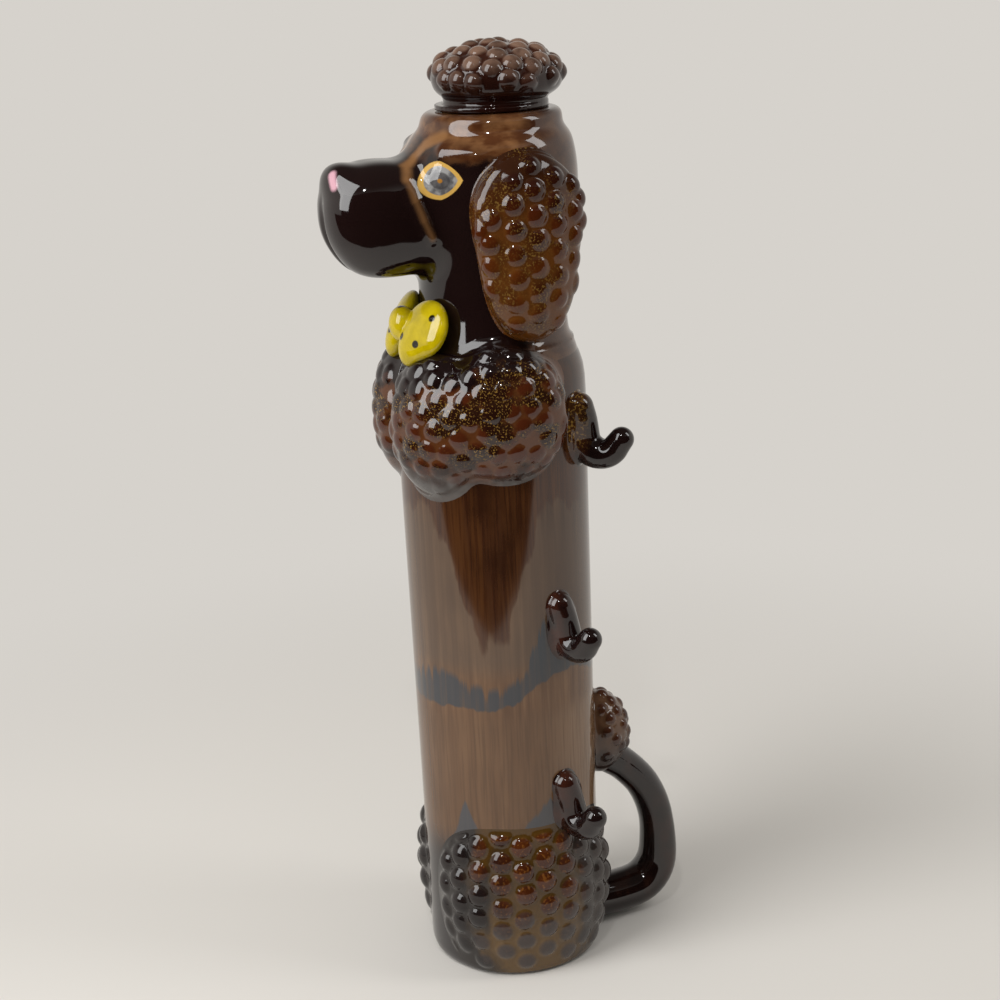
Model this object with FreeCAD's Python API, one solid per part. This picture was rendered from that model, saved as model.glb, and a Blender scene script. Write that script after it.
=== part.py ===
import FreeCAD, Part
import math
import os

# A poodle-shaped liquor decanter of glazed earthenware, standing upright.
# Millimetres. +Z is up, +X is the dog's left side and -Y is the way it faces.
# The origin is the centre of the flat foot, on the trunk's axis.

# Trunk: a tall hollow bottle with a rounded foot and a closed-in shoulder
WALL = 4.5
FLOOR = 6.0
FOOT_RADIUS = 33.0
FOOT_RISE = 5.0
TRUNK_RADIUS_LOW = 35.0
TRUNK_RADIUS_HIGH = 37.0
TRUNK_HEIGHT = 256.0
SHOULDER_DROP = 14.0
SHOULDER_TOP_RADIUS = 32.0
SHOULDER_BULGE = 1.2

# Head: a hollow skull on a short neck, with the mouth of the bottle in its crown
HEAD_HEIGHT = 88.0
NECK_FOOT_RADIUS = 31.5
NECK_FOOT_SET_BACK = 0.5
NECK_RADIUS = 28.5
NECK_RISE = 14.0
NECK_SET_BACK = 2.5
SKULL_RADIUS = 33.0
SKULL_RISE = 66.0
SKULL_SET_BACK = 4.0
RIM_RADIUS = 25.2
MOUTH_SET_BACK = 5.8
BORE_RADIUS = 15.0
BORE_LENGTH = 24.0

# Muzzle: a deep rounded jaw with a nose that stands out above the chin
JAW_HALF_WIDTH = 20.0
JAW_HALF_LENGTH = 23.0
JAW_HALF_HEIGHT = 22.0
JAW_FORWARD = 37.5
JAW_RISE = 51.0
NOSE_HALF_WIDTH = 18.0
NOSE_HALF_LENGTH = 17.5
NOSE_HALF_HEIGHT = 18.5
NOSE_FORWARD = 46.0
NOSE_RISE = 57.0

# Ears: flat drops that hang from the sides of the skull
EAR_HALF_THICKNESS = 9.4
EAR_HALF_WIDTH = 21.4
EAR_LENGTH_UP = 23.0
EAR_LENGTH_DOWN = 39.0
EAR_LOBE_HALF_WIDTH = 16.6
EAR_LOBE_HALF_HEIGHT = 21.0
EAR_LOBE_DROP = 26.0
EAR_OUT = 32.0
EAR_SET_BACK = 6.0
EAR_RISE = 52.0

# Forelegs: a chest puff and a shoulder puff on each side of the trunk
CHEST_PUFF_ANGLE = -58.0
CHEST_PUFF_DEPTH = 14.0
CHEST_PUFF_HALF_WIDTH = 21.0
CHEST_PUFF_HALF_HEIGHT = 28.0
CHEST_PUFF_DROP = 27.0
SHOULDER_PUFF_ANGLE = -12.0
SHOULDER_PUFF_DEPTH = 13.0
SHOULDER_PUFF_HALF_WIDTH = 24.5
SHOULDER_PUFF_HALF_HEIGHT = 26.0
SHOULDER_PUFF_DROP = 22.0
PUFF_SINK = 3.5
FORELEG_GAP = 1.0

# Haunches: broad thighs on each side of the foot
HAUNCH_PROUD = 4.2
HAUNCH_DEPTH = 25.2
HAUNCH_HALF_LENGTH = 34.8
HAUNCH_HALF_HEIGHT = 54.0
HAUNCH_RISE = 33.0
HAUNCH_FLOOR_GAP = 1.0

# Curls: low round lumps in staggered columns on the haunches and the ears
HAUNCH_CURL_RADIUS = 4.6
HAUNCH_CURL_PROUD = 2.0
HAUNCH_CURL_PITCH = 9.4
HAUNCH_CURL_STEP = 10.0
HAUNCH_CURL_COLUMNS = 11
HAUNCH_CURL_ROWS = 6
EAR_CURL_RADIUS = 4.0
EAR_CURL_PROUD = 1.8
EAR_CURL_PITCH = 8.4
EAR_CURL_STEP = 9.0
EAR_CURL_COLUMNS = 5
EAR_CURL_ROWS = 8
EAR_BARE_RIM = 0.12  # no curl where the ear thins to a third of its middle

# Bow tie at the throat
BOW_KNOT_RADIUS = 6.0
BOW_WING_HALF_SPAN = 12.0
BOW_WING_HALF_THICKNESS = 5.5
BOW_WING_HALF_HEIGHT = 11.5
BOW_WING_OUT = 13.0
BOW_RISE = 10.0
BOW_FORWARD = 33.0
BOW_SWEEP = 18.0
BOW_LEAN = 24.0

# Cup hooks: three down each side
HOOK_RADIUS = 4.6
HOOK_TIP_RADIUS = 3.2
HOOK_BEND = 7.2
HOOK_TURN = 155.0
HOOK_TIP_RUN = 4.0
HOOK_STEM = 14.5
HOOK_PROUD = 0.5
HOOK_UPPER_DROP = 35.0
HOOK_LOWER_RISE = 70.0
HOOK_UPPER_ANGLE = 46.0
HOOK_LOWER_ANGLE = 22.0

# Tail: a pompom above a loop handle
POMPOM_HALF_WIDTH = 13.0
POMPOM_HALF_HEIGHT = 18.5
POMPOM_PROUD = 18.0
POMPOM_RISE = 85.0
HANDLE_HALF_WIDTH = 8.8
HANDLE_HALF_THICKNESS = 7.6
HANDLE_REACH = 31.5
HANDLE_FLOOR_GAP = 1.4
HANDLE_BEND_RISE = 40.0
HANDLE_LOW_RADIUS = 11.0
HANDLE_HIGH_RADIUS = 30.0

# Stopper: a curled topknot on a flange, with a cork round its spigot
TOPKNOT_RADIUS = 25.3
TOPKNOT_UP = 13.0
TOPKNOT_DOWN = 14.0
TOPKNOT_RISE = 13.0
TOPKNOT_SET_BACK = 2.2
FLANGE_RADIUS = 21.5
FLANGE_HEIGHT = 4.0
SPIGOT_RADIUS = 8.0
CORK_LENGTH = 20.0
CORK_CLEARANCE = 0.1

UP = FreeCAD.Vector(0, 0, 1)
LEFT = FreeCAD.Vector(1, 0, 0)
FORWARD = FreeCAD.Vector(0, -1, 0)
ORIGIN = FreeCAD.Vector(0, 0, 0)
HEAD_TOP = TRUNK_HEIGHT + HEAD_HEIGHT
SHOULDER_FOOT = TRUNK_HEIGHT - SHOULDER_DROP


def trunk_radius(height):
    """Outer radius of the trunk's straight wall at a height."""
    share = (height - FOOT_RISE) / (SHOULDER_FOOT - FOOT_RISE)
    return TRUNK_RADIUS_LOW + (TRUNK_RADIUS_HIGH - TRUNK_RADIUS_LOW) * share


def polar(radius, angle, height):
    """A point at a distance from the trunk's axis; angle 0 is the dog's left, 90 its back."""
    turn = math.radians(angle)
    return FreeCAD.Vector(radius * math.cos(turn), radius * math.sin(turn), height)


def stretched(shape, x_scale, y_scale, z_scale):
    matrix = FreeCAD.Matrix()
    matrix.scale(x_scale, y_scale, z_scale)
    return shape.transformGeometry(matrix)


def egg(half_x, half_y, up, down):
    """A rounded form about the origin whose upper and lower halves differ in length."""
    upper = stretched(Part.makeSphere(1.0, ORIGIN, UP, 0, 90, 360), half_x, half_y, up)
    lower = stretched(Part.makeSphere(1.0, ORIGIN, UP, -90, 0, 360), half_x, half_y, down)
    return upper.fuse(lower)


def ellipsoid(half_x, half_y, half_z, axis=UP):
    """A rounded form about the origin with its poles along an axis."""
    return stretched(Part.makeSphere(1.0, ORIGIN, axis), half_x, half_y, half_z)


def mirrored(shape):
    return shape.mirror(ORIGIN, LEFT)


def seated(piece, *carriers):
    """The piece with its back cut to the pieces that carry it."""
    cut = piece.cut(list(carriers))
    return max(cut.Solids, key=lambda solid: solid.Volume)


def staggered(columns, rows, pitch, step):
    """Places across and up from the middle of a field of curls, every other column half a step up."""
    places = []
    for column in range(columns):
        for row in range(rows):
            across = (column - (columns - 1) / 2) * pitch
            up = (row - (rows - 1) / 2 + (column % 2) / 2) * step
            places.append((across, up))
    return places


def curl(place, centre, halves, radius, proud):
    """A ball sunk into an ellipsoid at a point of its face, so that only its top stands proud."""
    away = place - centre
    way = FreeCAD.Vector(away.x / halves[0] ** 2, away.y / halves[1] ** 2, away.z / halves[2] ** 2)
    ball = Part.makeSphere(radius)
    ball.rotate(ORIGIN, UP, 180)
    ball.translate(place - way.normalize() * (radius - proud))
    return ball


def revolved(points, arc_from=None, arc_middle=None):
    """A solid turned about Z from (radius, height) points; one span may be an arc."""
    corners = [FreeCAD.Vector(radius, 0, height) for radius, height in points]
    edges = []
    for index, start in enumerate(corners):
        end = corners[(index + 1) % len(corners)]
        if index == arc_from:
            middle = FreeCAD.Vector(arc_middle[0], 0, arc_middle[1])
            edges.append(Part.Arc(start, middle, end).toShape())
        else:
            edges.append(Part.LineSegment(start, end).toShape())
    return Part.Face(Part.Wire(edges)).revolve(ORIGIN, UP, 360)


def trunk_form(inset, bottom):
    """The trunk's outer form, or with an inset the space inside its wall."""
    low = TRUNK_RADIUS_LOW - inset
    high = TRUNK_RADIUS_HIGH - inset
    top = TRUNK_HEIGHT - inset
    top_radius = SHOULDER_TOP_RADIUS - inset
    middle = ((high + top_radius) / 2 + SHOULDER_BULGE, (SHOULDER_FOOT + top) / 2 + SHOULDER_BULGE)
    points = [
        (0, bottom),
        (FOOT_RADIUS - inset, bottom),
        (low, bottom + FOOT_RISE),
        (high, SHOULDER_FOOT),
        (top_radius, top),
        (0, top),
    ]
    return revolved(points, 3, middle)


def make_trunk(form):
    below = FreeCAD.Vector(0, NECK_FOOT_SET_BACK, TRUNK_HEIGHT - 2 * WALL)
    passage = Part.makeCylinder(NECK_FOOT_RADIUS - 2 * WALL, 3 * WALL, below)
    return form.cut([trunk_form(WALL, FLOOR), passage])


def skull_form(inset, top):
    """Neck and skull up to a height above the neck joint, as rings about a leaning axis."""
    rings = [
        (0, NECK_FOOT_SET_BACK, NECK_FOOT_RADIUS),
        (NECK_RISE, NECK_SET_BACK, NECK_RADIUS),
        (SKULL_RISE, SKULL_SET_BACK, SKULL_RADIUS),
        (top, MOUTH_SET_BACK, RIM_RADIUS),
    ]
    wires = []
    for rise, set_back, radius in rings:
        centre = FreeCAD.Vector(0, set_back, TRUNK_HEIGHT + rise)
        wires.append(Part.Wire(Part.Circle(centre, UP, radius - inset).toShape()))
    return Part.makeLoft(wires, True)


def muzzle_form():
    jaw = ellipsoid(JAW_HALF_WIDTH, JAW_HALF_LENGTH, JAW_HALF_HEIGHT, FORWARD)
    jaw.translate(FreeCAD.Vector(0, -JAW_FORWARD, TRUNK_HEIGHT + JAW_RISE))
    nose = ellipsoid(NOSE_HALF_WIDTH, NOSE_HALF_LENGTH, NOSE_HALF_HEIGHT, FORWARD)
    nose.translate(FreeCAD.Vector(0, -NOSE_FORWARD, TRUNK_HEIGHT + NOSE_RISE))
    return jaw.fuse(nose)


def make_head(form):
    crown = HEAD_HEIGHT - BORE_LENGTH
    hollow = skull_form(WALL, HEAD_HEIGHT)
    lid = Part.makeBox(
        4 * SKULL_RADIUS, 4 * SKULL_RADIUS, HEAD_HEIGHT,
        FreeCAD.Vector(-2 * SKULL_RADIUS, -2 * SKULL_RADIUS, TRUNK_HEIGHT + crown))
    bore = Part.makeCylinder(
        BORE_RADIUS, BORE_LENGTH + WALL,
        FreeCAD.Vector(0, MOUTH_SET_BACK, TRUNK_HEIGHT + crown - WALL))
    return form.cut([hollow.cut(lid), bore])


def ear_curls(centre, halves_up, halves_down, lobe_centre, lobe_halves):
    """Curls over the outer face of the ear's flap and lobe."""
    curls = []
    for across, up in staggered(EAR_CURL_COLUMNS, EAR_CURL_ROWS, EAR_CURL_PITCH, EAR_CURL_STEP):
        height = centre.z - (EAR_LENGTH_DOWN - EAR_LENGTH_UP) / 2 + up
        halves = halves_up if height > centre.z else halves_down
        seats = []
        for middle, sizes in ((centre, halves), (lobe_centre, lobe_halves)):
            room = 1 - (across / sizes[1]) ** 2 - ((height - middle.z) / sizes[2]) ** 2
            if room > EAR_BARE_RIM:
                place = FreeCAD.Vector(middle.x + sizes[0] * math.sqrt(room), middle.y + across, height)
                seats.append((place.x, place, middle, sizes))
        if seats:
            place, middle, sizes = max(seats, key=lambda seat: seat[0])[1:]
            curls.append(curl(place, middle, sizes, EAR_CURL_RADIUS, EAR_CURL_PROUD))
    return curls


def make_ear():
    centre = FreeCAD.Vector(EAR_OUT, EAR_SET_BACK, TRUNK_HEIGHT + EAR_RISE)
    lobe_centre = centre - UP * EAR_LOBE_DROP
    flap = egg(EAR_HALF_THICKNESS, EAR_HALF_WIDTH, EAR_LENGTH_UP, EAR_LENGTH_DOWN)
    flap.translate(centre)
    lobe_halves = (EAR_HALF_THICKNESS, EAR_LOBE_HALF_WIDTH, EAR_LOBE_HALF_HEIGHT)
    lobe = ellipsoid(*lobe_halves)
    lobe.translate(lobe_centre)
    halves_up = (EAR_HALF_THICKNESS, EAR_HALF_WIDTH, EAR_LENGTH_UP)
    halves_down = (EAR_HALF_THICKNESS, EAR_HALF_WIDTH, EAR_LENGTH_DOWN)
    return flap.fuse(lobe).fuse(ear_curls(centre, halves_up, halves_down, lobe_centre, lobe_halves))


def puff(depth, half_width, half_height, angle, drop):
    """One rounded puff of the foreleg, turned to face out of the trunk."""
    form = ellipsoid(depth, half_width, half_height)
    form.rotate(ORIGIN, UP, angle)
    height = TRUNK_HEIGHT - drop
    form.translate(polar(trunk_radius(height) - PUFF_SINK, angle, height))
    return form


def make_foreleg():
    chest = puff(CHEST_PUFF_DEPTH, CHEST_PUFF_HALF_WIDTH, CHEST_PUFF_HALF_HEIGHT,
                 CHEST_PUFF_ANGLE, CHEST_PUFF_DROP)
    shoulder = puff(SHOULDER_PUFF_DEPTH, SHOULDER_PUFF_HALF_WIDTH, SHOULDER_PUFF_HALF_HEIGHT,
                    SHOULDER_PUFF_ANGLE, SHOULDER_PUFF_DROP)
    reach = 3 * TRUNK_RADIUS_HIGH
    other_side = Part.makeBox(reach, 2 * reach, TRUNK_HEIGHT + HEAD_HEIGHT,
                              FreeCAD.Vector(FORELEG_GAP / 2 - reach, -reach, 0))
    return chest.fuse(shoulder).cut(other_side)


def haunch_curls(centre, halves):
    """Curls round the side of the haunch wherever it stands clear of the trunk."""
    curls = []
    outside = TRUNK_RADIUS_LOW + HAUNCH_PROUD
    for across, up in staggered(HAUNCH_CURL_COLUMNS, HAUNCH_CURL_ROWS, HAUNCH_CURL_PITCH, HAUNCH_CURL_STEP):
        turn = across / outside
        square = (math.cos(turn) / halves[0]) ** 2 + (math.sin(turn) / halves[1]) ** 2
        middle = centre.x * math.cos(turn) / halves[0] ** 2
        rest = (centre.x / halves[0]) ** 2 + (up / halves[2]) ** 2 - 1
        reach = middle / square + math.sqrt(max(middle ** 2 - square * rest, 0)) / square
        height = centre.z + up
        if reach > trunk_radius(height) + HAUNCH_CURL_PROUD / 2:
            place = polar(reach, math.degrees(turn), height)
            curls.append(curl(place, centre, halves, HAUNCH_CURL_RADIUS, HAUNCH_CURL_PROUD))
    return curls


def make_haunch():
    halves = (HAUNCH_DEPTH, HAUNCH_HALF_LENGTH, HAUNCH_HALF_HEIGHT)
    centre = FreeCAD.Vector(TRUNK_RADIUS_LOW + HAUNCH_PROUD - HAUNCH_DEPTH, 0, HAUNCH_RISE)
    form = ellipsoid(*halves)
    form.rotate(ORIGIN, UP, 180)
    form.translate(centre)
    reach = 3 * TRUNK_RADIUS_LOW
    below = Part.makeBox(2 * reach, 2 * reach, reach,
                         FreeCAD.Vector(-reach, -reach, HAUNCH_FLOOR_GAP - reach))
    return form.fuse(haunch_curls(centre, halves)).cut(below)


def make_bow():
    """A round knot and two wings that sweep back round the throat."""
    height = TRUNK_HEIGHT + BOW_RISE
    middle = FreeCAD.Vector(0, -BOW_FORWARD, height)
    wings = []
    for side in (1, -1):
        wing = ellipsoid(BOW_WING_HALF_SPAN, BOW_WING_HALF_THICKNESS, BOW_WING_HALF_HEIGHT)
        wing.rotate(ORIGIN, LEFT, -BOW_LEAN)
        wing.translate(LEFT * (side * BOW_WING_OUT))
        wing.rotate(ORIGIN, UP, side * BOW_SWEEP)
        wing.translate(middle)
        wings.append(wing)
    return Part.makeSphere(BOW_KNOT_RADIUS, middle).fuse(wings)


def make_hook(angle, height):
    """A finger that runs down the trunk, then turns out and up to hold a cup's handle."""
    stem_radius = trunk_radius(height) + HOOK_PROUD
    foot = FreeCAD.Vector(stem_radius, 0, 0)
    middle = FreeCAD.Vector(stem_radius + HOOK_BEND, 0, 0)
    section = Part.Face(Part.Wire(Part.Circle(foot, UP, HOOK_RADIUS).toShape()))
    stem = section.extrude(UP * HOOK_STEM)
    head = Part.makeSphere(HOOK_RADIUS, foot + UP * HOOK_STEM, UP, 0, 90, 360)
    bend = section.revolve(middle, FreeCAD.Vector(0, -1, 0), HOOK_TURN)
    turn = math.radians(180 + HOOK_TURN)
    end = middle + FreeCAD.Vector(math.cos(turn), 0, math.sin(turn)) * HOOK_BEND
    way = FreeCAD.Vector(-math.sin(turn), 0, math.cos(turn))
    tip = Part.makeCone(HOOK_RADIUS, HOOK_TIP_RADIUS, HOOK_TIP_RUN, end, way)
    tip_end = Part.makeSphere(HOOK_TIP_RADIUS, end + way * HOOK_TIP_RUN, way, 0, 90, 360)
    hook = stem.fuse([head, bend, tip, tip_end])
    hook.translate(FreeCAD.Vector(0, 0, height))
    hook.rotate(ORIGIN, UP, angle)
    return hook


def make_pompom():
    form = ellipsoid(POMPOM_HALF_WIDTH, POMPOM_HALF_WIDTH, POMPOM_HALF_HEIGHT)
    back = trunk_radius(POMPOM_RISE) + POMPOM_PROUD
    form.translate(FreeCAD.Vector(0, back - POMPOM_HALF_WIDTH, POMPOM_RISE))
    return form


def rounded_path(corners, radii):
    """A wire through corner points, with an arc of each given radius at the inner ones."""
    edges = []
    start = corners[0]
    for index, radius in enumerate(radii, 1):
        corner = corners[index]
        back = (corners[index - 1] - corner).normalize()
        ahead = (corners[index + 1] - corner).normalize()
        half = back.getAngle(ahead) / 2
        entry = corner + back * (radius / math.tan(half))
        leave = corner + ahead * (radius / math.tan(half))
        inward = (back + ahead).normalize()
        middle = corner + inward * (radius / math.sin(half) - radius)
        edges.append(Part.LineSegment(start, entry).toShape())
        edges.append(Part.Arc(entry, middle, leave).toShape())
        start = leave
    edges.append(Part.LineSegment(start, corners[-1]).toShape())
    return Part.Wire(edges)


def make_handle():
    """An oval-section loop from the foot of the trunk's back up to the pompom."""
    inside = TRUNK_RADIUS_LOW - WALL / 2
    outside = TRUNK_RADIUS_LOW + HANDLE_REACH
    low = HANDLE_FLOOR_GAP + HANDLE_HALF_THICKNESS
    corners = [
        FreeCAD.Vector(0, inside, low),
        FreeCAD.Vector(0, outside, low),
        FreeCAD.Vector(0, outside, low + HANDLE_BEND_RISE),
        FreeCAD.Vector(0, inside, POMPOM_RISE),
    ]
    path = rounded_path(corners, [HANDLE_LOW_RADIUS, HANDLE_HIGH_RADIUS])
    side = corners[0] + LEFT * HANDLE_HALF_WIDTH
    top = corners[0] + UP * HANDLE_HALF_THICKNESS
    section = Part.Wire(Part.Ellipse(side, top, corners[0]).toShape())
    return path.makePipeShell([section], True, False)


def make_topknot():
    """The stopper's ceramic: domed topknot, flange and the spigot that the cork grips."""
    dome = egg(TOPKNOT_RADIUS, TOPKNOT_RADIUS, TOPKNOT_UP, TOPKNOT_DOWN)
    dome.translate(FreeCAD.Vector(0, TOPKNOT_SET_BACK, TOPKNOT_RISE))
    reach = 2 * TOPKNOT_RADIUS
    below = Part.makeBox(2 * reach, 2 * reach, reach, FreeCAD.Vector(-reach, -reach, -reach))
    flange = Part.makeCylinder(FLANGE_RADIUS, FLANGE_HEIGHT)
    spigot = Part.makeCylinder(SPIGOT_RADIUS, CORK_LENGTH, FreeCAD.Vector(0, 0, -CORK_LENGTH))
    topknot = dome.cut(below).fuse([flange, spigot])
    topknot.translate(FreeCAD.Vector(0, MOUTH_SET_BACK, HEAD_TOP))
    return topknot


def make_cork():
    sleeve = Part.makeCylinder(BORE_RADIUS - CORK_CLEARANCE, CORK_LENGTH)
    core = Part.makeCylinder(SPIGOT_RADIUS, CORK_LENGTH)
    cork = sleeve.cut(core)
    cork.translate(FreeCAD.Vector(0, MOUTH_SET_BACK, HEAD_TOP - CORK_LENGTH))
    return cork


def main():
    trunk_outside = trunk_form(0, 0)
    head_outside = skull_form(0, HEAD_HEIGHT).fuse(muzzle_form())
    haunch = seated(make_haunch(), trunk_outside)
    foreleg = seated(make_foreleg(), trunk_outside, head_outside)
    ear = seated(make_ear(), head_outside, trunk_outside, foreleg)
    pompom = seated(make_pompom(), trunk_outside)
    parts = {
        "trunk": make_trunk(trunk_outside),
        "head": make_head(head_outside),
        "bow_tie": seated(make_bow(), trunk_outside, head_outside, foreleg, mirrored(foreleg)),
        "tail_pompom": pompom,
        "tail_handle": seated(make_handle(), trunk_outside, pompom, haunch, mirrored(haunch)),
        "stopper_topknot": make_topknot(),
        "stopper_cork": make_cork(),
    }
    for name, shape in {"haunch": haunch, "foreleg": foreleg, "ear": ear}.items():
        parts[name + "_left"] = shape
        parts[name + "_right"] = mirrored(shape)
    hook_top = TRUNK_HEIGHT - HOOK_UPPER_DROP
    hook_places = [
        ("upper", HOOK_UPPER_ANGLE, hook_top),
        ("middle", HOOK_LOWER_ANGLE, (hook_top + HOOK_LOWER_RISE) / 2),
        ("lower", HOOK_LOWER_ANGLE, HOOK_LOWER_RISE),
    ]
    for name, angle, height in hook_places:
        left = make_hook(angle, height)
        right = make_hook(180 - angle, height)
        parts["hook_" + name + "_left"] = seated(left, trunk_outside, foreleg, haunch)
        parts["hook_" + name + "_right"] = seated(right, trunk_outside, mirrored(foreleg), mirrored(haunch))

    os.makedirs("parts", exist_ok=True)
    for name, shape in parts.items():
        shape.exportStep("parts/" + name + ".step")
        print(name, len(shape.Solids), shape.isValid(), round(shape.Volume))


main()
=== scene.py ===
import math

import bpy
import numpy as np
from mathutils import Matrix, Vector


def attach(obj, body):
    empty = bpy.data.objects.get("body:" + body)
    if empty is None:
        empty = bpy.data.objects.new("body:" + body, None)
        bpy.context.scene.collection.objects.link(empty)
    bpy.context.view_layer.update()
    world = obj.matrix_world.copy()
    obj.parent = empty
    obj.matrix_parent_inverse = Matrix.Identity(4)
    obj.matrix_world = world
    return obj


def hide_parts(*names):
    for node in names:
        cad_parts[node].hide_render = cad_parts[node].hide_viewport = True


# A glazed poodle decanter. Shapes are worked out in millimetres in the row frame:
# +Z is up, +X is the dog's left and -Y is the way it faces.

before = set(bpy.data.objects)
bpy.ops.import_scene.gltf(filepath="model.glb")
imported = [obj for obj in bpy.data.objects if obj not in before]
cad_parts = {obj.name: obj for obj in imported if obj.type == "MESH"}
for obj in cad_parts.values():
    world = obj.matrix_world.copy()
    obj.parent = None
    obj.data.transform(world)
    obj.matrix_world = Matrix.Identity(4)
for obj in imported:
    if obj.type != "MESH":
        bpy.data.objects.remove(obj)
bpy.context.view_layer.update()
scene = bpy.context.scene
MM = 0.001

# Camera: where the photo was taken from, in millimetres and degrees
CAMERA_TURN = 70.0
CAMERA_BACK = 760.0
CAMERA_ASIDE = 1.7
CAMERA_HEIGHT = 423.9
CAMERA_PITCH = 17.0
CAMERA_ROLL = 2.7
CAMERA_LENS = 72.5

# Trunk: (height, radius) up its outside
TRUNK_PROFILE = np.array([
    (0.0, 32.0), (0.6, 33.0), (1.8, 34.0), (3.6, 34.7), (6.0, 35.0), (120.0, 36.0), (236.0, 37.0),
    (242.0, 36.8), (246.5, 36.2), (250.5, 35.0), (253.5, 33.6), (256.0, 32.0)])
TRUNK_TOP = 256.0
WALL = 4.5
FLOOR = 6.0
PASSAGE_RADIUS = 22.5
AXIS_GAP = 0.05

# Head: (height, set-back, radius) of the rings up neck and skull, and the mouth in its crown
HEAD_RINGS = np.array([(256.0, 0.5, 31.5), (270.0, 2.5, 28.5), (322.0, 4.0, 33.0), (344.0, 5.8, 25.2)])
HEAD_TOP = 344.0
NECK_SKIRT = 245.0
MOUTH_SET_BACK = 5.8
BORE_RADIUS = 15.0
BORE_FLOOR = 322.0
EYE = 21.0, -22.9, 322.0
EYE_ALONG = 0.604, 0.797, 0.0
EYE_HALF_LENGTH = 8.5
EYE_HALF_HEIGHT = 7.0

# Face: the middle and half-lengths of each ball of clay on the skull, and rods as points with radii
JAW = (1.0, -38.0, 307.0), (18.6, 21.6, 21.4)
JAW_SQUARENESS = 2.7
BRIDGE = (1.0, -45.0, 310.6), (16.6, 17.2, 16.0)
BRIDGE_SQUARENESS = 2.5
NOSE = (0.0, -55.0, 322.4), (10.0, 6.4, 6.4)
EYEBALL = (16.8, -19.7, 322.0), (6.2, 7.8, 6.8)
EYE_TURN = -37.0
BROW = [(12.0, -23.5, 328.0), (18.5, -20.0, 330.5), (26.0, -11.0, 329.5)]
BROW_RADII = [1.8, 3.2, 2.4]
LIP_GROOVE = [(0, -64.5, 317.0), (0, -62.5, 305.0), (0, -57.0, 293.0), (0, -49.0, 286.5)]
LIP_GROOVE_RADII = [0.9, 1.3, 1.3, 0.8]
CHEEK_EDGE = [(14.5, -19.3, 336.8), (9.4, -24.0, 334.0), (8.0, -28.2, 330.4), (10.8, -32.5, 327.0),
              (16.3, -34.2, 322.7), (19.5, -32.4, 315.3), (20.1, -29.7, 307.8), (19.6, -26.6, 300.9)]
CHEEK_EDGE_WIDTHS = [2.6, 2.4, 2.2, 1.7, 1.1, 0.8, 0.6]
CHEEK_RIDGE_RADII = [1.2, 1.9, 1.7, 1.2]
CHEEK_RIDGE_SINK = (1.5, 0, 0.3)
NOSE_BLUSH = [(5.8, -59.2, 325.6), (8.4, -59.4, 321.8)]
NOSE_BLUSH_WIDTHS = [1.7]

# Luted pieces: middles and half-lengths; a puff stands at a radius, an angle from the dog's left and a height
CHEST_PUFF = (33.4, -58.0, 229.0), (12.8, 20.4, 27.2)
SHOULDER_PUFF = (33.5, -12.0, 234.0), (12.0, 23.7, 25.2)
HAUNCH = (14.0, 0.0, 33.0), (25.2, 34.8, 51.0)
HAUNCH_FLOOR_GAP = 1.0
EAR_MIDDLE = (32.0, 6.0, 308.0)
EAR_HALVES = 9.4, 21.4, 23.0, 39.0
EAR_LOBE = (32.0, 6.0, 282.0), (9.4, 16.6, 21.0)
POMPOM = (0, 40.7, 85.0), (12.2, 12.2, 17.8)
HANDLE_PATH = [(0, 30.0, 9.7), (0, 46.0, 9.6), (0, 58.5, 12.0), (0, 65.2, 20.0), (0, 66.3, 33.0),
               (0, 64.6, 46.0), (0, 59.5, 58.0), (0, 51.5, 67.5), (0, 43.0, 74.5), (0, 34.0, 81.5)]
HANDLE_RADII = (0, 0.3, 0.5, 0.8, 1), (8.9, 8.3, 7.1, 7.0, 8.2)
HANDLE_FLATNESS = 7.6 / 8.8
HANDLE_FLOOR_GAP = 0.8
BOW_MIDDLE = np.array((0.0, -33.0, 266.0))
BOW_SWEEP = 18.0, -24.0
BOW_WING = (13.0, 0, 0), (11.8, 4.6, 11.3)
BOW_TAIL = (8.5, 0, -7.0), (6.5, 4.4, 8.0)
BOW_KNOT = (0, -1.0, 0.5), (6.2, 5.2, 7.0)
BOW_DOTS = [(18.9, -28.8, 271.6), (16.1, -34.9, 261.8), (0.2, -34.4, 273.5), (7.2, -37.2, 263.6)]

# Stopper: dome, the bulge round its foot, and its stepped flange over the spigot
DOME_MIDDLE = (0, 8.0, 357.0)
DOME_HALVES = 24.0, 24.0, 10.9, 12.0
DOME_BULGE = (0, 8.8, 353.2), (23.0, 23.0, 6.8)
DOME_FLOOR = 345.0
FLANGE_RADIUS = 21.3
STEP_RADIUS = 19.6
STEP_SET_BACK = 7.4
SPIGOT_RADIUS = 7.9
CORK_PROFILE = [(8.05, 324.3), (14.0, 324.1), (14.6, 324.8), (14.85, 335.0), (14.85, 343.6), (8.05, 343.6)]

# Hooks: name, angle from the dog's left, height and radius of the bend, rod and tip radius, pad half-width
HOOKS = [("upper", 46.0, 221.0, 7.2, 6.3, 4.8, 9.4), ("middle", 22.0, 145.5, 5.8, 5.7, 4.7, 7.4),
         ("lower", 22.0, 70.0, 5.8, 5.7, 4.7, 7.4)]
HOOK_LEAN = 4.0
HOOK_PROUD = 1.2
HOOK_STEM = 11.4
HOOK_TURN = 150
HOOK_TIP_RUN = 3.4
PAD_DEPTH = 2.2
PAD_HALF_HEIGHT = 12.0

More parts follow.
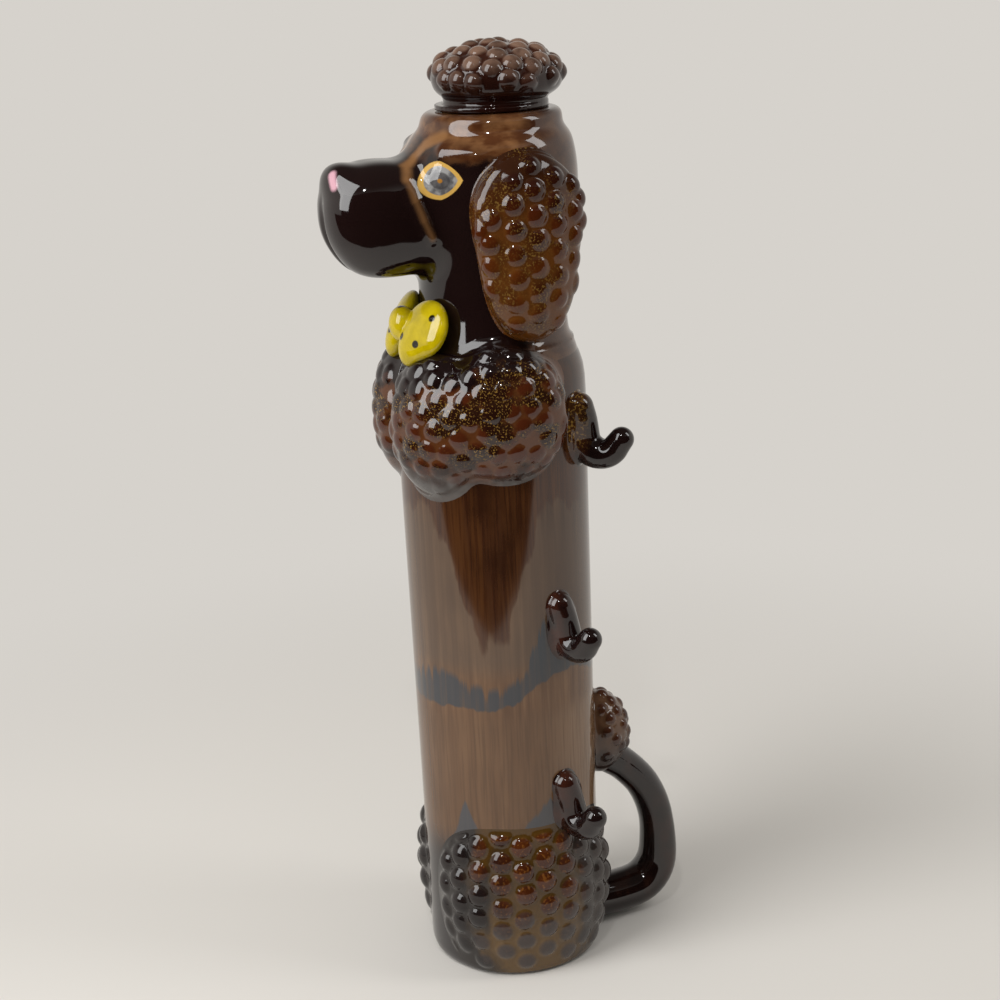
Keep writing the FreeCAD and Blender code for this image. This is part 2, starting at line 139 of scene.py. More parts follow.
# Slate on the trunk: wedges above the haunch as (angle in radians, steepness, height of the peak), and a
# band as (degrees from the dog's left, height) along its lower and upper edges
SLATE_WEDGES = (-0.87, 80.0, 76.0), (0.12, 42.0, 77.0)
BAND_LOWER = [(-90, 117), (-63, 118), (-40, 118), (-20, 119), (-8, 122), (2, 127), (14, 130), (30, 130),
              (60, 123), (90, 119)]
BAND_UPPER = [(-90, 127), (-63, 131), (-45, 128), (-22, 125), (-10, 130), (-2, 140), (6, 151), (15, 153),
              (24, 142), (40, 136), (65, 128), (90, 123)]


def colour(code):
    """Linear colour of an sRGB hex code."""
    parts = [int(code[i:i + 2], 16) / 255 for i in (1, 3, 5)]
    return tuple(c / 12.92 if c <= 0.04045 else ((c + 0.055) / 1.055) ** 2.4 for c in parts) + (1.0,)


def add(tree, kind, *values, out=0, **settings):
    """A node with its settings; each value is a socket to link, a plain value, or a dict by socket."""
    made = tree.nodes.new(kind)
    for key, value in settings.items():
        setattr(made, key, value)
    pairs = {}
    for place, value in enumerate(values):
        pairs.update(value if isinstance(value, dict) else {place: value})
    for socket, value in pairs.items():
        if isinstance(value, bpy.types.NodeSocket):
            tree.links.new(value, made.inputs[socket])
        elif value is not None:
            made.inputs[socket].default_value = value
    return made.outputs[out] if len(made.outputs) else made


# Clay forms: each gives the distance in millimetres from points to a surface, negative inside

def ball(points, centre, half, turn=None, power=2.0):
    """An ellipsoid; the columns of turn are its own axes, and a power over 2 makes it squarer."""
    local = points - np.asarray(centre)
    if turn is not None:
        local = local @ turn
    half = np.asarray(half, float)
    share = np.abs(local / half)
    near = np.maximum((share ** power).sum(1) ** (1 / power), 1e-6)
    slope = share ** (power - 1) / half * near[:, None] ** (1 - power)
    return (near - 1) / np.maximum(np.linalg.norm(slope, axis=1), 1e-9)


def egg(points, centre, half_x, half_y, up, down):
    """An ellipsoid whose upper and lower halves differ in length."""
    half = np.tile((half_x, half_y, up), (len(points), 1)).astype(float)
    half[points[:, 2] < centre[2], 2] = down
    return ball(points, centre, half)


def finger(points, path, radii):
    """A rounded rod along a path whose radius changes from point to point."""
    nearest = np.full(len(points), 1e9)
    for start, end, first, last in zip(path, path[1:], radii, radii[1:]):
        run = np.subtract(end, start)
        share = np.clip((points - start) @ run / (run @ run), 0, 1)
        gap = np.linalg.norm(points - start - share[:, None] * run, axis=1)
        nearest = np.minimum(nearest, gap - first - (last - first) * share)
    return nearest


def melt(one, other, width):
    """Two forms joined with a fillet about as wide as given."""
    share = np.clip(0.5 + 0.5 * (other - one) / width, 0, 1)
    return other * (1 - share) + one * share - width * share * (1 - share)


def carve(form, tool, width):
    """A form with another taken out of it, its edge rounded."""
    return -melt(-form, tool, width)


def luted(form, carrier, fillet, depth=1.6):
    """A form with a clay fillet where it meets its carrier, and its back sunk in the carrier."""
    joined = melt(form, carrier + 0.12, fillet)
    return np.maximum(np.maximum(joined, form - 0.9 * fillet), -(carrier + depth))


def smooth(corners, steps=5):
    """A curve through points, as many more points."""
    corners = [np.array(place, float) for place in corners]
    ends = [2 * corners[0] - corners[1]] + corners + [2 * corners[-1] - corners[-2]]
    path = []
    for before, start, end, after in zip(ends, ends[1:], ends[2:], ends[3:]):
        for t in np.arange(steps) / steps:
            bow_out = 2 * before - 5 * start + 4 * end - after
            swing = 3 * (start - end) + after - before
            path.append(0.5 * (2 * start + (end - before) * t + bow_out * t ** 2 + swing * t ** 3))
    return path + [corners[-1]]


def turned(angle, lean=0.0):
    """Axes leaned about X, then turned about Z, in degrees."""
    leaned = Matrix.Rotation(math.radians(lean), 3, "X")
    return np.array(Matrix.Rotation(math.radians(angle), 3, "Z") @ leaned)


def polar(radius, angle, height):
    """A place at a radius from the upright axis and an angle in degrees from the dog's left."""
    turn = math.radians(angle)
    return np.array((radius * math.cos(turn), radius * math.sin(turn), height))


def fade(value, start, end):
    """Smooth step from 0 at start to 1 at end."""
    share = np.clip((value - start) / (end - start), 0, 1)
    return share * share * (3 - 2 * share)


def trunk_radius(height):
    """Outside radius of the trunk at a height."""
    return np.interp(height, TRUNK_PROFILE[:, 0], TRUNK_PROFILE[:, 1])


def trunk(points):
    """The trunk's outside up to its top."""
    side = np.hypot(points[:, 0], points[:, 1]) - trunk_radius(points[:, 2])
    return np.maximum(side, points[:, 2] - TRUNK_TOP)


RISE = HEAD_RINGS[:, 0] - 300
SET_BACK_CURVE = np.polyfit(RISE, HEAD_RINGS[:, 1], 3)
RADIUS_CURVE = np.polyfit(RISE, HEAD_RINGS[:, 2], 3)


def skull(points):
    """Neck and skull, drawn in below a rounded lip at the top."""
    height = np.clip(points[:, 2], 250, 350)
    across = np.hypot(points[:, 0], points[:, 1] - np.polyval(SET_BACK_CURVE, height - 300))
    waist = 1.3 * np.exp(-((height - 338.0) / 3.0) ** 2)
    return carve(across + waist - np.polyval(RADIUS_CURVE, height - 300), HEAD_TOP - points[:, 2], 2.2)


def face(points):
    """Skull with the muzzle, eyeballs and brows; both sides alike."""
    half = np.column_stack((np.abs(points[:, 0]), points[:, 1:]))
    muzzle = melt(ball(half, *JAW, power=JAW_SQUARENESS), ball(half, *BRIDGE, power=BRIDGE_SQUARENESS), 6.0)
    form = melt(skull(points), melt(muzzle, ball(half, *NOSE), 4.0), 9.0)
    form = melt(form, finger(half, BROW, BROW_RADII), 5.0)
    ridge = [np.subtract(place, CHEEK_RIDGE_SINK) for place in CHEEK_EDGE[-len(CHEEK_RIDGE_RADII):]]
    form = melt(form, finger(half, ridge, CHEEK_RIDGE_RADII), 3.0)
    form = melt(form, ball(half, *EYEBALL, turned(EYE_TURN)), 2.5)
    return carve(form, finger(half, LIP_GROOVE, LIP_GROOVE_RADII), 2.5)


def head(points):
    """The face on its neck, with the mouth of the bottle bored into the crown."""
    x, y, z = points.T
    across = np.hypot(x, y - MOUTH_SET_BACK)
    bore = np.maximum(across - BORE_RADIUS - 0.2, BORE_FLOOR - z)
    # The lower edge slips in under the trunk's skin, so that no seam shows round the neck
    inset = 0.12 + 0.7 * (1 - fade(z, NECK_SKIRT + 1.0, NECK_SKIRT + 9.0))
    blend = 0.2 + 4.8 * fade(z, NECK_SKIRT + 2.0, NECK_SKIRT + 13.0)
    form = np.maximum(melt(face(points), trunk(points) + inset, blend), NECK_SKIRT - z)
    return carve(form, bore, 1.2)


def bottle(points):
    """Trunk and head together, as the carrier of what is luted on."""
    return np.minimum(trunk(points), face(points))


def foreleg(points):
    """A chest puff and a shoulder puff that run together round the side."""
    chest, shoulder = (ball(points, polar(*place), halves, turned(place[1]))
                       for place, halves in (CHEST_PUFF, SHOULDER_PUFF))
    fillet = 2.5 + 5.5 * fade(points[:, 2], 234.0, 252.0)
    return np.maximum(luted(melt(chest, shoulder, 4.0), bottle(points), fillet), 0.5 - points[:, 0])


def haunch(points):
    """A thigh round one side of the foot."""
    return np.maximum(luted(ball(points, *HAUNCH), trunk(points), 3.0), HAUNCH_FLOOR_GAP - points[:, 2])


def ear(points):
    """A flap that hangs down the side of the head to a fuller lobe."""
    flap = egg(points, EAR_MIDDLE, *EAR_HALVES)
    return luted(melt(flap, ball(points, *EAR_LOBE), 6.0), bottle(points), 2.5)


def pompom(points):
    """The ball at the top of the tail."""
    return luted(ball(points, *POMPOM), trunk(points), 3.0)


def handle(points):
    """A loop from the foot of the trunk's back up into the pompom, oval across."""
    path = smooth(HANDLE_PATH)
    radii = np.interp(np.linspace(0, 1, len(path)), *HANDLE_RADII)
    form = finger(points * (HANDLE_FLATNESS, 1, 1), path, radii)
    return np.maximum(luted(form, trunk(points), 4.0), HANDLE_FLOOR_GAP - points[:, 2])


def hook(angle, height, reach, stout, blunt, spread):
    """A finger on a flattened pad that runs down, turns out and curls up to a blunt tip."""
    stem = trunk_radius(height) + HOOK_PROUD
    places = [polar(stem - 0.6, angle - HOOK_LEAN, height + HOOK_STEM),
              polar(stem, angle - HOOK_LEAN * 6.0 / HOOK_STEM, height + 6.0)]
    radii = [stout - 0.4, stout - 0.2]
    for turn in range(0, HOOK_TURN + 1, 15):
        bend = math.radians(180 + turn)
        places.append(polar(stem + reach * (1 + math.cos(bend)), angle, height + reach * math.sin(bend)))
        radii.append(np.interp(turn, (0, 60, HOOK_TURN), (stout, stout, blunt + 0.3)))
    way = places[-1] - places[-2]
    places.append(places[-1] + way / np.linalg.norm(way) * HOOK_TIP_RUN)
    radii.append(blunt)
    path = smooth(places, 3)
    radii = np.interp(np.arange(len(path)) / 3, np.arange(len(radii)), radii)
    pad = polar(trunk_radius(height) - 0.8, angle, height + 1.0), (PAD_DEPTH, spread, PAD_HALF_HEIGHT)

    def form(points):
        grown = melt(finger(points, path, radii), ball(points, *pad, turned(angle)), 1.8)
        return luted(grown, trunk(points), 1.6)
    return form


def bow(points):
    """A round knot between two wings that sweep back round the throat."""
    half = np.column_stack((np.abs(points[:, 0]), points[:, 1:]))
    sweep = turned(*BOW_SWEEP)
    wing, tail = (ball(half, BOW_MIDDLE + sweep @ place, halves, sweep)
                  for place, halves in (BOW_WING, BOW_TAIL))
    knot = ball(half, BOW_MIDDLE + BOW_KNOT[0], BOW_KNOT[1])
    form = np.minimum(melt(wing, tail, 4.0), knot)
    return np.maximum(form, -(bottle(points) + 2.0))


def topknot(points):
    """Domed topknot on a stepped flange, with the spigot that the cork grips."""
    x, y, z = points.T
    dome = melt(egg(points, DOME_MIDDLE, *DOME_HALVES), ball(points, *DOME_BULGE), 5.0)
    across = np.hypot(x, y - MOUTH_SET_BACK)
    flange = np.maximum(across - FLANGE_RADIUS, np.abs(z - 345.4) - 1.0)
    step = np.maximum(np.hypot(x, y - STEP_SET_BACK) - STEP_RADIUS, np.abs(z - 347.0) - 3.0)
    spigot = np.maximum(across - SPIGOT_RADIUS, np.abs(z - 336.0) - 11.8)
    form = melt(np.maximum(dome, DOME_FLOOR - z), step, 1.0)
    return melt(melt(form, flange, 0.8), spigot, 0.6)


def skin(field, low, high, cell):
    """Points and quads of a form's surface on a grid, evened out and drawn onto the form."""
    ticks = [np.arange(a - 2 * cell, b + 3 * cell, cell) for a, b in zip(low, high)]
    grid = np.stack(np.meshgrid(*ticks, indexing="ij"), -1)
    value = field(grid.reshape(-1, 3)).reshape(grid.shape[:3])
    inside = value < 0
    size = [n - 1 for n in inside.shape]
    corners = [(i, j, k) for i in (0, 1) for j in (0, 1) for k in (0, 1)]

    def corner(array, place):
        return array[tuple(slice(s, s + n) for s, n in zip(place, size))]

    filled = sum(corner(inside, place).astype(int) for place in corners)
    active = (filled > 0) & (filled < 8)
    number = np.full(size, -1)
    number[active] = np.arange(active.sum())
    total = np.zeros((active.sum(), 3))
    hits = np.zeros(active.sum())
    for one in corners:
        for axis in range(3):
            if one[axis]:
                continue
            other = tuple(1 if i == axis else c for i, c in enumerate(one))
            first = corner(value, one)[active]
            last = corner(value, other)[active]
            crossed = (first < 0) != (last < 0)
            place = np.tile(np.array(one, float), (len(first), 1))
            place[:, axis] = first / np.where(crossed, first - last, 1)
            total[crossed] += place[crossed]
            hits[crossed] += 1
    base = np.argwhere(active) + total / hits[:, None]
    points = base * cell + np.array([t[0] for t in ticks])

    quads = []
    for axis in range(3):
        one, two = [i for i in range(3) if i != axis]
        lower = inside[tuple(slice(0, -1) if i == axis else slice(1, -1) for i in range(3))]
        upper = inside[tuple(slice(1, None) if i == axis else slice(1, -1) for i in range(3))]
        for start in (True, False):
            edges = np.argwhere(lower & ~upper if start else ~lower & upper)
            ring = []
            for step_one, step_two in ((0, 0), (1, 0), (1, 1), (0, 1)):
                cells = edges.copy()
                cells[:, one] += step_one
                cells[:, two] += step_two
                ring.append(number[tuple(cells.T)])
            ring = np.column_stack(ring)
            quads.append(ring if start == (axis != 1) else ring[:, ::-1])
    quads = np.vstack(quads)

    for even in (True, True, True, False):
        if even:
            total = np.zeros_like(points)
            hits = np.zeros(len(points))
            for a in range(4):
                for b in (1, 3):
                    np.add.at(total, quads[:, a], points[quads[:, (a + b) % 4]])
                    np.add.at(hits, quads[:, a], 1)
            points = 0.4 * points + 0.6 * total / hits[:, None]
        for _ in range(2):
            here = field(points)
            slope = np.column_stack([(field(points + 0.02 * axis) - here) / 0.02 for axis in np.eye(3)])
            steep = np.maximum((slope ** 2).sum(1), 0.25)
            points = points - slope * np.clip(here / steep, -cell, cell)[:, None]
    return points, quads


def piece(name, points, faces, material=None, fluff=None):
    """A smooth-shaded mesh from millimetre points; fluff is how far curls rise, point by point."""
    mesh = bpy.data.meshes.new(name)
    mesh.from_pydata((points * MM).tolist(), [], [list(map(int, f)) for f in faces])
    mesh.update()
    mesh.shade_smooth()
    if fluff is not None:
        mesh.attributes.new("fluff", "FLOAT", "POINT").data.foreach_set("value", fluff.astype(np.float32))
    if material:
        mesh.materials.append(material)
    made = bpy.data.objects.new(name, mesh)
    scene.collection.objects.link(made)
    return made


def mirrored(made, name):
    """The same piece for the dog's other side."""
    mesh = made.data.copy()
    mesh.transform(Matrix.Scale(-1, 4, (1, 0, 0)))
    mesh.flip_normals()
    other = bpy.data.objects.new(name, mesh)
    scene.collection.objects.link(other)
    return other


def lathe(name, profile, set_back, count, material):
    """A closed ring-shaped or solid piece turned about a vertical axis from (radius, height) points."""
    points, faces = [], []
    for radius, height in profile:
        for turn in range(count):
            angle = 2 * math.pi * turn / count
            points.append((radius * math.cos(angle), set_back + radius * math.sin(angle), height))
    rows = len(profile)
    for row in range(rows):
        for turn in range(count):
            after = (turn + 1) % count
            here, above = row * count, (row + 1) % rows * count
            faces.append((here + turn, here + after, above + after, above + turn))
    return piece(name, np.array(points), faces, material)


# Curls: small domes raised on a form, spread evenly or in staggered columns round the trunk or on a flat side

MOST_CURLS = 2000000.0  # per square metre, far above what their spacing allows
AIM_FROM = 0.08         # metres out from the trunk's axis or the mid-plane
AIM_LENGTH = 0.07


def curl_tree(name, layout):
    """Nodes that raise domes on a piece where its fluff allows; columns are aimed at it from outside."""
    tree = bpy.data.node_groups.new(name, "GeometryNodeTree")
    panel = tree.interface
    panel.new_socket("Geometry", in_out="INPUT", socket_type="NodeSocketGeometry")
    for label in ("Radius", "Height", "Across", "Up", "Side", "Rise", "Rim", "Stray"):
        panel.new_socket(label, in_out="INPUT", socket_type="NodeSocketFloat")
    for label in ("Columns", "Rows", "Seed"):
        panel.new_socket(label, in_out="INPUT", socket_type="NodeSocketInt")
    panel.new_socket("Glaze", in_out="INPUT", socket_type="NodeSocketMaterial")
    panel.new_socket("Geometry", in_out="OUTPUT", socket_type="NodeSocketGeometry")
    given = add(tree, "NodeGroupInput").node.outputs
    fluff = add(tree, "GeometryNodeInputNamedAttribute", "fluff", data_type="FLOAT")

    if layout == "spread":
        seats = add(tree, "GeometryNodeDistributePointsOnFaces", given["Geometry"],
                    {"Distance Min": given["Across"], "Density Max": MOST_CURLS, "Density Factor": fluff,
                     "Seed": given["Seed"]}, distribute_method="POISSON")
    else:
        gaps = add(tree, "ShaderNodeMath", given["Columns"], 1.0, operation="SUBTRACT")
        wide = add(tree, "ShaderNodeMath", gaps, given["Across"], operation="MULTIPLY")
        gaps = add(tree, "ShaderNodeMath", given["Rows"], 1.0, operation="SUBTRACT")
        tall = add(tree, "ShaderNodeMath", gaps, given["Up"], operation="MULTIPLY")
        grid = add(tree, "GeometryNodeMeshGrid", wide, tall, given["Columns"], given["Rows"])
        spot = add(tree, "GeometryNodeInputPosition")
        across, up, _ = add(tree, "ShaderNodeSeparateXYZ", spot).node.outputs
        column = add(tree, "ShaderNodeMath", wide, 0.5, across, operation="MULTIPLY_ADD")
        column = add(tree, "ShaderNodeMath", column, given["Across"], operation="DIVIDE")
        odd = add(tree, "ShaderNodeMath", column, operation="ROUND")
        odd = add(tree, "ShaderNodeMath", odd, 2.0, operation="MODULO")
        half_step = add(tree, "ShaderNodeMath", given["Up"], 0.5, operation="MULTIPLY")
        up = add(tree, "ShaderNodeMath", odd, half_step, up, operation="MULTIPLY_ADD")
        up = add(tree, "ShaderNodeMath", up, given["Rise"])
        stray_up, stray_across = (
            add(tree, "FunctionNodeRandomValue", {"Min": -1.0, "Max": 1.0, "Seed": seed}, out=1)
            for seed in (1, 2))
        height = add(tree, "ShaderNodeMath", stray_up, given["Stray"], up, operation="MULTIPLY_ADD")
        across = add(tree, "ShaderNodeMath", stray_across, given["Stray"], across, operation="MULTIPLY_ADD")
        across = add(tree, "ShaderNodeMath", across, given["Rim"], operation="MINIMUM")
        far_rim = add(tree, "ShaderNodeMath", given["Rim"], -1.0, operation="MULTIPLY")
        across = add(tree, "ShaderNodeMath", across, far_rim, operation="MAXIMUM")
        if layout == "round":
            turn = add(tree, "ShaderNodeMath", across, given["Side"], operation="DIVIDE")
            way = add(tree, "ShaderNodeCombineXYZ", add(tree, "ShaderNodeMath", turn, operation="COSINE"),
                      add(tree, "ShaderNodeMath", turn, operation="SINE"), 0.0)
            level = add(tree, "ShaderNodeCombineXYZ", 0.0, 0.0, height)
        else:
            way = (1.0, 0.0, 0.0)
            across = add(tree, "ShaderNodeMath", across, given["Side"])
            level = add(tree, "ShaderNodeCombineXYZ", 0.0, across, height)
        start = add(tree, "ShaderNodeVectorMath", way, (AIM_FROM,) * 3, level, operation="MULTIPLY_ADD")
        inward = add(tree, "ShaderNodeVectorMath", way, {"Scale": -1.0}, operation="SCALE")
        cast = add(tree, "GeometryNodeRaycast", {
            "Target Geometry": given["Geometry"], "Source Position": start, "Ray Direction": inward,
            "Ray Length": AIM_LENGTH}).node.outputs
        seats = add(tree, "GeometryNodeMeshToPoints", grid, cast["Is Hit"], cast["Hit Position"])
    away = add(tree, "GeometryNodeProximity", seats, out="Distance", target_element="POINTS")
    share = add(tree, "ShaderNodeMath", away, given["Radius"], operation="DIVIDE", use_clamp=True)
    slump = add(tree, "ShaderNodeMath", share, 2.0, operation="POWER")
    dome = add(tree, "ShaderNodeMath", 1.0, slump, operation="SUBTRACT")
    dome = add(tree, "ShaderNodeMath", dome, 0.75, operation="POWER")
    curl = add(tree, "ShaderNodeMath", dome, fluff, operation="MULTIPLY")
    lift = add(tree, "ShaderNodeMath", curl, given["Height"], operation="MULTIPLY")
    outward = add(tree, "ShaderNodeVectorMath", add(tree, "GeometryNodeInputNormal"), {"Scale": lift},
                  operation="SCALE")
    marked = add(tree, "GeometryNodeStoreNamedAttribute", given["Geometry"], {2: "curl", 3: curl},
                 data_type="FLOAT", domain="POINT")
    raised = add(tree, "GeometryNodeSetPosition", marked, {3: outward})
    whole = add(tree, "GeometryNodeRealizeInstances", raised)
    add(tree, "NodeGroupOutput", add(tree, "GeometryNodeSetMaterial", whole, {2: given["Glaze"]}))
    return tree


SPREAD = curl_tree("curls spread evenly", "spread")
ROUND = curl_tree("curls in columns round the trunk", "round")
FLAT = curl_tree("curls in columns on a flat side", "flat")


def curled(made, tree, glaze, **values):
    """Raises curls on a piece, their lengths in millimetres, and keeps the result as a plain mesh."""
    maker = made.modifiers.new("curls", "NODES")
    maker.node_group = tree
    for item in tree.interface.items_tree:
        if item.in_out == "INPUT" and item.name.lower() in values:
            value = values[item.name.lower()]
            maker[item.identifier] = value * MM if item.socket_type == "NodeSocketFloat" else value
        elif item.name == "Glaze":
            maker[item.identifier] = glaze
    bpy.context.view_layer.update()
    mesh = bpy.data.meshes.new_from_object(made.evaluated_get(bpy.context.evaluated_depsgraph_get()))
    made.modifiers.remove(maker)
    old, made.data = made.data, mesh
    mesh.name = old.name
    bpy.data.meshes.remove(old)
    mesh.shade_smooth()
    return made


# Glazes: clear glossy lead-glaze colours brushed and run over one another

RAMP = dict(interpolation_type="SMOOTHSTEP")


def finish(name, roughness, ior=1.6):
    """A new material: itself, its tree and its shader's inputs."""
    made = bpy.data.materials.new(name)
    made.use_nodes = True
    sockets = made.node_tree.nodes["Principled BSDF"].inputs
    sockets["Roughness"].default_value = roughness
    sockets["IOR"].default_value = ior
    return made, made.node_tree, sockets


def places(tree):
    """Where a point lies in millimetres: a vector, then x, y, z and the distance out from the mid-plane."""
    spot = add(tree, "ShaderNodeTexCoord", out="Object")
    spot = add(tree, "ShaderNodeVectorMath", spot, {"Scale": 1000.0}, operation="SCALE")
    x, y, z = add(tree, "ShaderNodeSeparateXYZ", spot).node.outputs
    return spot, x, y, z, add(tree, "ShaderNodeMath", x, operation="ABSOLUTE")


def mottle(tree, spot, size, low, high, detail=3.0):
    """A mask of blotches about as large as given in millimetres along X, Y and Z."""
    scaled = add(tree, "ShaderNodeVectorMath", spot, tuple(1 / s for s in size), operation="MULTIPLY")
    noise = add(tree, "ShaderNodeTexNoise", {"Vector": scaled, "Scale": 1.0, "Detail": detail})
    return add(tree, "ShaderNodeMapRange", noise, low, high, **RAMP)


def coats(tree, ground, *layers):
    """Colours laid one over another, each through its own mask."""
    for mask, over in layers:
        over = colour(over) if isinstance(over, str) else over
        ground = colour(ground) if isinstance(ground, str) else ground
        ground = add(tree, "ShaderNodeMix", {0: mask, 6: ground, 7: over}, out=2, data_type="RGBA")
    return ground


def both(tree, *masks):
    """Where all the masks overlap."""
    total = masks[0]
    for mask in masks[1:]:
        total = add(tree, "ShaderNodeMath", total, mask, operation="MULTIPLY")
    return total


def stripe(tree, here, path, widths, soft):
    """A mask of a painted line through points on the piece."""
    total = 0.0
    for start, end, wide in zip(path, path[1:], widths):
        run = Vector(end) - Vector(start)
        away = add(tree, "ShaderNodeVectorMath", here, start, operation="SUBTRACT")
        share = add(tree, "ShaderNodeVectorMath", away, tuple(run / run.length_squared), out="Value",
                    operation="DOT_PRODUCT")
        share = add(tree, "ShaderNodeClamp", share, 0.0, 1.0)
        along = add(tree, "ShaderNodeVectorMath", tuple(run), {"Scale": share}, operation="SCALE")
        gap = add(tree, "ShaderNodeVectorMath", away, along, out="Value", operation="DISTANCE")
        mask = add(tree, "ShaderNodeMapRange", gap, wide + soft, wide - soft, **RAMP)
        total = add(tree, "ShaderNodeMath", total, mask, operation="MAXIMUM")
    return total


def spots(tree, here, centres, radius, soft):
    """A mask of round spots painted at points on the piece."""
    total = 0.0
    for centre in centres:
        away = add(tree, "ShaderNodeVectorMath", here, tuple(centre), out="Value", operation="DISTANCE")
        mask = add(tree, "ShaderNodeMapRange", away, radius + soft, radius - soft, **RAMP)
        total = add(tree, "ShaderNodeMath", total, mask, operation="MAXIMUM")
    return total


def edge_curve(tree, turn, heights):
    """A height in millimetres that follows (degrees round the trunk, height) points."""
    share = add(tree, "ShaderNodeMapRange", turn, -math.pi / 2, math.pi / 2)
    made = add(tree, "ShaderNodeFloatCurve", {"Value": share}).node
    points = made.mapping.curves[0].points
    for index, (angle, height) in enumerate(heights):
        place = ((angle + 90) / 180, height / TRUNK_TOP)
        if index in (0, len(heights) - 1):
            points[0 if index == 0 else -1].location = place
        else:
            points.new(*place)
    made.mapping.update()
    return add(tree, "ShaderNodeMath", made.outputs[0], TRUNK_TOP, operation="MULTIPLY")


def trunk_glaze():
    """Brown brushed in upright streaks, a dark run hanging below the forelegs, slate bands lower down, and a
    paler painted reflection of the pale paper on the lower rear.
    """
    made, tree, sockets = finish("brown brushed glaze", 0.08)
    spot, _, y, z, flank = places(tree)
    streak = mottle(tree, spot, (4.0, 4.0, 70.0), 0.35, 0.66)
    fine = mottle(tree, spot, (1.0, 1.0, 26.0), 0.4, 0.7)
    cloud = mottle(tree, spot, (15.0, 15.0, 26.0), 0.3, 0.72)
    wander = mottle(tree, spot, (7.0, 7.0, 24.0), 0.2, 0.8)
    drips = mottle(tree, spot, (2.4, 2.4, 50.0), 0.4, 0.7)
    turn = add(tree, "ShaderNodeMath", y, flank, operation="ARCTAN2")
    off = add(tree, "ShaderNodeMath", add(tree, "ShaderNodeMath", turn, 0.45), operation="ABSOLUTE")
    lobe = add(tree, "ShaderNodeMapRange", off, 0.72, 0.04, 206.0, 150.0, **RAMP)
    edge = add(tree, "ShaderNodeMath", wander, -14.0, lobe, operation="MULTIPLY_ADD")
    below = add(tree, "ShaderNodeMath", z, edge, operation="SUBTRACT")
    run = add(tree, "ShaderNodeMapRange", below, -2.0, 3.0, 0.0, 0.85, **RAMP)
    deep = add(tree, "ShaderNodeMapRange", below, 12.0, 40.0, **RAMP)
    lower = edge_curve(tree, turn, BAND_LOWER)
    lower = add(tree, "ShaderNodeMath", wander, 3.0, lower, operation="MULTIPLY_ADD")
    lower = add(tree, "ShaderNodeMath", z, lower, operation="SUBTRACT")
    upper = edge_curve(tree, turn, BAND_UPPER)
    upper = add(tree, "ShaderNodeMath", drips, -6.0, upper, operation="MULTIPLY_ADD")
    upper = add(tree, "ShaderNodeMath", z, upper, operation="SUBTRACT")
    over = add(tree, "ShaderNodeMapRange", lower, -3.0, -1.8, **RAMP)
    under = add(tree, "ShaderNodeMapRange", upper, 3.0, -1.0, **RAMP)
    band = both(tree, over, under, 0.85)
    low = add(tree, "ShaderNodeMapRange", z, 118.0, 108.0, 0.0, 0.6, **RAMP)
    rear = both(tree, add(tree, "ShaderNodeMapRange", turn, -0.15, 0.3, **RAMP),
                add(tree, "ShaderNodeMapRange", z, 125.0, 150.0, 0.0, 0.55, **RAMP))
    waist = both(tree, add(tree, "ShaderNodeMapRange", z, 126.0, 138.0, 0.0, 0.5, **RAMP),
                 add(tree, "ShaderNodeMapRange", z, 214.0, 186.0, **RAMP))
    # Painted reflection: low on the trunk and towards the rear, the glaze is painted paler where it would
    # mirror the pale paper.
    pale = add(tree, "ShaderNodeMapRange", turn, 0.0, 0.5, **RAMP)
    foot = add(tree, "ShaderNodeMapRange", z, 66.0, 44.0, 0.0, 0.9, **RAMP)
    hang = both(tree, drips, add(tree, "ShaderNodeMapRange", z, 172.0, 206.0, 0.0, 0.7, **RAMP))
    wedge = 0.0
    for side, steep, peak in SLATE_WEDGES:
        aside = add(tree, "ShaderNodeMath", add(tree, "ShaderNodeMath", turn, -side), operation="ABSOLUTE")
        narrow = add(tree, "ShaderNodeMath", aside, steep, z, operation="MULTIPLY_ADD")
        narrow = add(tree, "ShaderNodeMath", wander, 5.0, narrow, operation="MULTIPLY_ADD")
        mask = add(tree, "ShaderNodeMapRange", narrow, peak + 4.0, peak + 1.5, 0.0, 0.8, **RAMP)
        wedge = add(tree, "ShaderNodeMath", wedge, mask, operation="MAXIMUM")
    brushed = coats(tree, "#5b3f28", (both(tree, streak, 0.65), "#7d5d40"),
                    (both(tree, fine, 0.34), "#472d1a"), (both(tree, cloud, 0.4), "#432813"),
                    (waist, "#4d4238"), (rear, "#3d2a1d"), (hang, "#2a1a12"))
    hung = coats(tree, brushed, (run, "#3d200d"), (both(tree, run, streak, 0.6), "#502f14"),
                 (both(tree, run, fine, 0.7), "#2c140a"), (both(tree, run, deep, cloud), "#1f0d07"))
    # Below the band the glaze is a lighter brown of its own, and paler still towards the rear as a painted
    # reflection of the paper.
    lowered = coats(tree, hung, (low, "#60452e"), (both(tree, low, pale), "#80644b"),
                    (both(tree, fine, low, 0.7), "#46301d"))
    paint = coats(tree, lowered, (band, "#2b343c"), (both(tree, band, drips, streak, 0.8), "#5a442f"),
                  (wedge, "#3a4148"), (foot, "#312d2d"), (both(tree, foot, cloud), "#211c1c"))
    tree.links.new(paint, sockets["Base Color"])
    return made


